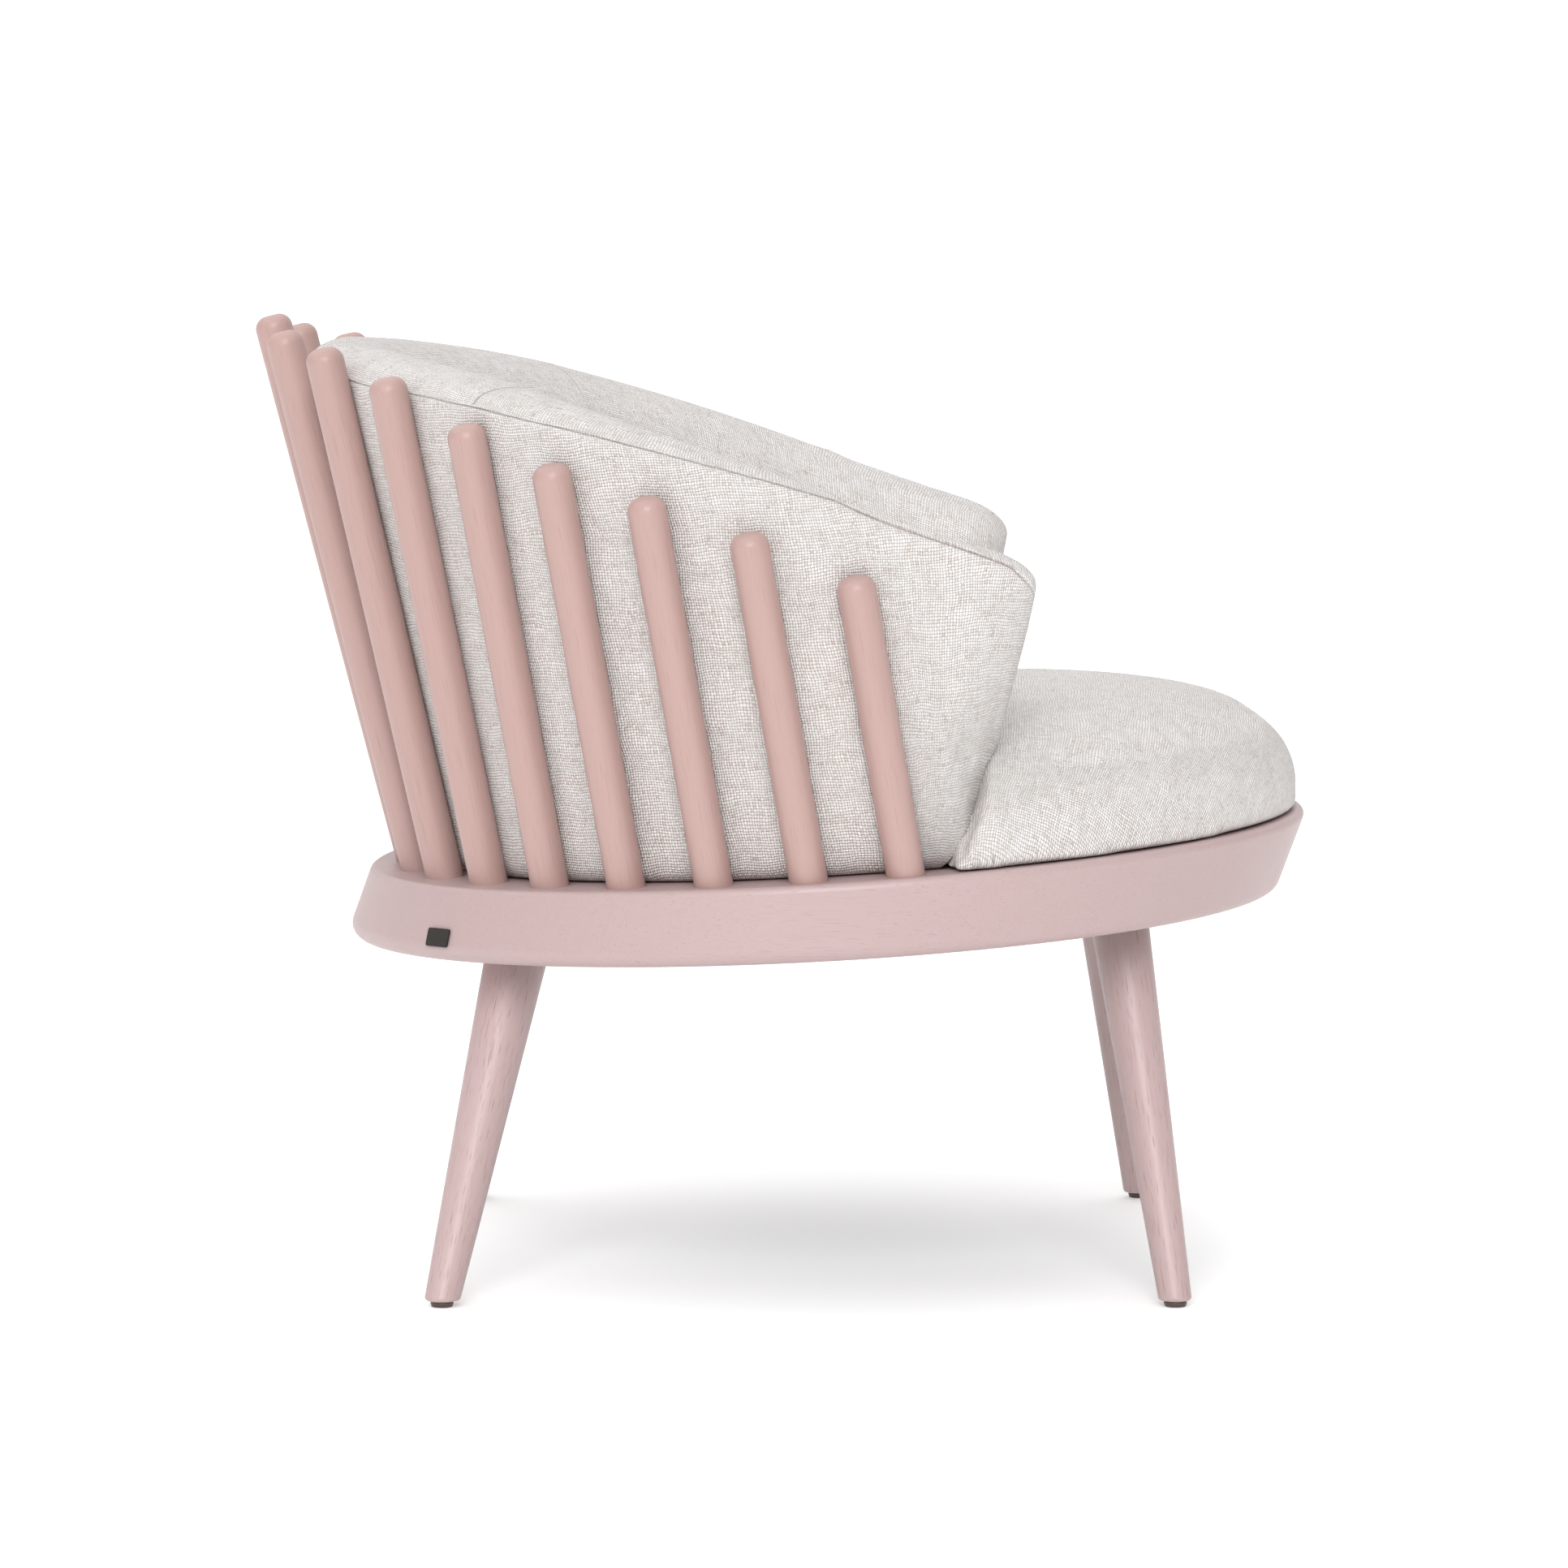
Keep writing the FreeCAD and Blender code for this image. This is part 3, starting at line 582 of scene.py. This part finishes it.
backCushion = newPiece("backCushion", wrapMesh(), fabric)
for vertex in backCushion.data.vertices:
    swell = sum(noise.noise(vertex.co * scale) * reach for scale, reach in wrap["puckers"])
    outward = Vector((vertex.co.x, vertex.co.y - centreY, 0)).normalized()
    vertex.co += outward * swell
seamLayer = backCushion.data.attributes["seam"].data
held = []
for vertex, mark in zip(backCushion.data.vertices, seamLayer):
    above = vertex.co.z - deckPoint(centreY - vertex.co.y, 0).z
    onSeam = abs(mark.value) < wrap["seamHold"]
    held.append(1.0 if above < wrap["footHold"] else (0.9 if onSeam else 0.0))
fill(backCushion, held, wrap["pressure"], wrap["mostSwell"])
pressSpindles(backCushion.data, wrap["spindleGap"])
subdivide(backCushion)
settle(backCushion)
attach(backCushion, "root")
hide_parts("back_cushion")
print("back cushion", len(backCushion.data.polygons), "faces")

seat = {
    "radius": 0.352, "crown": 0.1065, "roundness": 3.3, "height": 3.4, "tuck": 0.007, "tuckHeight": 0.013,
    "lift": 0.0006, "voxel": 0.0052, "smoothing": 2, "gap": 0.0010, "outside": 0.09,
    "footHold": 0.005, "pressure": 3.0, "mostSwell": 0.0035,
    "levels": (-0.03, 0.0, 0.002, 0.006, 0.012, 0.03, 0.06, 0.09, 0.12, 0.16),
}


def seatProfile(turn):
    radius = seat["radius"] * cos(turn) ** (2 / seat["roundness"])
    height = seat["crown"] * sin(turn) ** (2 / seat["height"])
    if height < seat["tuckHeight"]:
        radius -= seat["tuck"] * (1 - height / seat["tuckHeight"]) ** 2
    return radius, height


deckTurn = Matrix.Translation(deckPoint(0, 0)) @ Matrix.Rotation(-deck["tilt"], 4, "X")


# turns an outline of radii and heights once round the upright axis
def turned(outline, steps, weld):
    shape = bmesh.new()
    last = shape.verts.new((0, 0, outline[0][1]))
    for radius, height in outline[1:]:
        last = bmesh.ops.extrude_vert_indiv(shape, verts=[last])["verts"][0]
        last.co = (radius, 0, height)
    bmesh.ops.spin(shape, geom=shape.verts[:] + shape.edges[:], cent=(0, 0, 0), axis=(0, 0, 1),
                   angle=2 * pi, steps=steps, use_merge=True)
    bmesh.ops.remove_doubles(shape, verts=shape.verts, dist=weld)
    bmesh.ops.recalc_face_normals(shape, faces=shape.faces)
    return shape


def seatDome():
    steps = 48
    profile = [seatProfile(pi / 2 * step / steps) for step in range(steps - 1, -1, -1)]
    outline = [(radius, max(height, seat["lift"])) for radius, height in profile]
    shape = turned([(0, seat["crown"])] + outline + [(0, seat["lift"])], 160, 0.0001)
    bmesh.ops.transform(shape, matrix=deckTurn, verts=shape.verts)
    mesh = bpy.data.meshes.new("seatCushion")
    shape.to_mesh(mesh)
    shape.free()
    return mesh


# how far the back cushion's rounded lower corner draws back at a level above the deck
def underCorner(up):
    corner = wrap["corner"]
    return corner - (corner ** 2 - min(max(corner - up, 0), corner) ** 2) ** 0.5


# the room that the back cushion takes: it follows the arms' inner corners and reaches past their outer face
def wrapRoom():
    mesh = bpy.data.meshes.new("wrapRoom")
    shape = bmesh.new()
    ring = bmesh.ops.create_circle(shape, segments=len(seat["levels"]) * 2, radius=1)["verts"]
    shape.faces.new(ring)
    outer = -wrap["thickness"] / 2 - seat["outside"]
    for number, (angle, share) in enumerate(wrapStations()):
        if number:
            ring = sweptOn(shape, ring)
        inner = [wrap["thickness"] / 2 * slimming(share, up) - underCorner(up) + seat["gap"]
                 for up in seat["levels"]]
        outline = [(outer, up) for up in seat["levels"]]
        outline += list(zip(reversed(inner), reversed(seat["levels"])))
        for vert, (across, up) in zip(ring, outline):
            vert.co = spotOn(angle, share, across, up)
    shape.faces.new(reversed(ring))
    bmesh.ops.recalc_face_normals(shape, faces=shape.faces)
    shape.to_mesh(mesh)
    shape.free()
    return mesh


seatCushion = newPiece("seatCushion", seatDome(), seatFabric)
room = newPiece("wrapRoom", wrapRoom(), seatFabric)
cut = seatCushion.modifiers.new("room", "BOOLEAN")
cut.operation = "DIFFERENCE"
cut.solver = "EXACT"
cut.object = room
remesh = seatCushion.modifiers.new("even", "REMESH")
remesh.mode = "VOXEL"
remesh.voxel_size = seat["voxel"]
settle(seatCushion)
bpy.data.objects.remove(room)
mesh = seatCushion.data
shape = bmesh.new()
shape.from_mesh(mesh)
for turn in range(seat["smoothing"]):
    bmesh.ops.smooth_vert(shape, verts=shape.verts, factor=0.5,
                          use_axis_x=True, use_axis_y=True, use_axis_z=True)
shape.to_mesh(mesh)
shape.free()
deckBack = deckTurn.inverted()
held = [1.0 if (deckBack @ vertex.co).z < seat["footHold"] else 0.0 for vertex in mesh.vertices]
fill(seatCushion, held, seat["pressure"], seat["mostSwell"])
subdivide(seatCushion)
mesh = settle(seatCushion)


# the cover is stretched from the middle outward, so its threads keep their length along every radius
def layWeave(mesh):
    grain = mesh.uv_layers.new(name="weave")
    stretched = []
    for vertex in mesh.vertices:
        spot = deckBack @ vertex.co
        radius = hypot(spot.x, spot.y)
        share = min(radius / seat["radius"], 0.97)
        arc = radius * (1 + 0.10 * share ** 4)
        if radius > seat["radius"] * 0.9:
            arc += max(seatProfile(0.45)[1] - spot.z, 0) * 0.8
        stretched.append((spot.x / max(radius, 1e-6) * arc, spot.y / max(radius, 1e-6) * arc))
    for loop in mesh.loops:
        grain.data[loop.index].uv = stretched[loop.vertex_index]


layWeave(mesh)
for polygon in mesh.polygons:
    polygon.use_smooth = True
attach(seatCushion, "root")
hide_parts("seat_cushion")
print("seat cushion", len(mesh.polygons), "faces")

glide = {"plasticRadius": 0.0084, "feltRadius": 0.0079, "feltHeight": 0.0017, "edge": 0.0006}


def glideFinish(name, low, high, rough, grain):
    finish = newFinish(name)
    cloud = finish.cloud(finish.place(), grain, 4.0)
    return finish.coat(Base_Color=finish.blend(cloud, low, high), Roughness=rough,
                       Normal=finish.bump(cloud, 0.0002, 0.5))


glideBrown = glideFinish("brown_glide_cap", (0.050, 0.035, 0.028), (0.095, 0.070, 0.058), 0.42, 900.0)
glideFelt = glideFinish("brown_glide_felt", (0.110, 0.075, 0.055), (0.230, 0.170, 0.135), 0.95, 2600.0)
for name in sorted(name for name in nodes if name.startswith("glide_") and name != "glide_nails"):
    low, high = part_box(name)
    middle = (low + high) / 2
    soft, hard, edge = glide["feltRadius"], glide["plasticRadius"], glide["edge"]
    joint = low.z + glide["feltHeight"]
    outline = [(0, low.z), (soft - edge, low.z), (soft, low.z + edge), (soft, joint),
               (hard, joint + 0.0002), (hard, high.z - edge), (hard - edge, high.z), (0, high.z)]
    shape = turned(outline, 48, 0.00002)
    for face in shape.faces:
        face.material_index = 1 if face.calc_center_median().z < joint else 0
    bmesh.ops.translate(shape, vec=(middle.x, middle.y, 0), verts=shape.verts)
    mesh = bpy.data.meshes.new("pad_" + name)
    shape.to_mesh(mesh)
    shape.free()
    piece = newPiece("pad_" + name, mesh, glideBrown)
    mesh.materials.append(glideFelt)
    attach(piece, "root")
    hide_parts(name)
print("glides done")


def gunmetalFinish():
    finish = newFinish("gunmetal_plate")
    brushed = finish.cloud(finish.place(scale=(400, 60, 3000)), 1.0, 3.0)
    colour = finish.blend(brushed, (0.040, 0.036, 0.033), (0.085, 0.077, 0.070))
    return finish.coat(Base_Color=colour, Metallic=0.85, Roughness=brushed * 0.2 + 0.34,
                       Normal=finish.bump(brushed, 0.0001, 0.4))


dress("badge_plate", gunmetalFinish())

studio = {
    "floor": 6.0, "floorTone": (0.90, 0.90, 0.90), "floorGlow": 0.26,
    "walls": ((0.0, 0.72), (0.5, 0.33), (0.72, 0.50), (0.90, 1.02)),
    "lens": 167.7, "eye": (-5.5164, 0.0104, 0.8859), "gaze": (0.9954, -0.0023, -0.0955),
}


def floorFinish():
    finish = newFinish("studio_floor")
    return finish.coat(Base_Color=studio["floorTone"], Roughness=0.9, Specular_IOR_Level=0.1,
                       Emission_Color=(1.0, 1.0, 1.0), Emission_Strength=studio["floorGlow"])


shape = bmesh.new()
bmesh.ops.create_grid(shape, x_segments=1, y_segments=1, size=studio["floor"] * 5)
mesh = bpy.data.meshes.new("studioFloor")
shape.to_mesh(mesh)
shape.free()
floor = newPiece("studioFloor", mesh, floorFinish())

# the studio's walls: brightest behind the chair, softer to its sides
walls = Finish(bpy.data.worlds.new("studioSky"))
facing = walls.add("TexCoord", {}, {}, "Generated")
aside = walls.add("SeparateXYZ", {}, {"Vector": facing}, "X")
share = walls.add("MapRange", {}, {"Value": aside, "From Min": -1})
stops = [(position, (tone, tone, tone)) for position, tone in studio["walls"]]
tone = walls.add("ValToRGB", {"stops": stops}, {"Fac": share})
walls.add("OutputWorld", {}, {"Surface": walls.add("Background", {}, {"Color": tone})})
scene.world = walls.owner
scene.view_settings.view_transform = "Standard"

# soft boxes far away, so each lights the whole floor alike: direction they come from, strength, spread
softBoxes = {
    "frontBox": ((-1.0, 0.05, 0.55), 1.86, 30),
    "topBox": ((0.10, 0.25, 1.0), 1.58, 90),
}
for name, (place, strength, spread) in softBoxes.items():
    light = bpy.data.lights.new(name, "SUN")
    light.energy = strength
    light.angle = radians(spread)
    lamp = bpy.data.objects.new(name, light)
    lamp.rotation_euler = Vector(place).to_track_quat("Z", "Y").to_euler()
    scene.collection.objects.link(lamp)

camera = bpy.data.objects.new("studioCamera", bpy.data.cameras.new("studioCamera"))
camera.data.lens = studio["lens"]
camera.data.sensor_width = 36
camera.location = studio["eye"]
camera.rotation_euler = Vector(studio["gaze"]).to_track_quat("-Z", "Y").to_euler()
scene.collection.objects.link(camera)
scene.camera = camera
print("studio set")
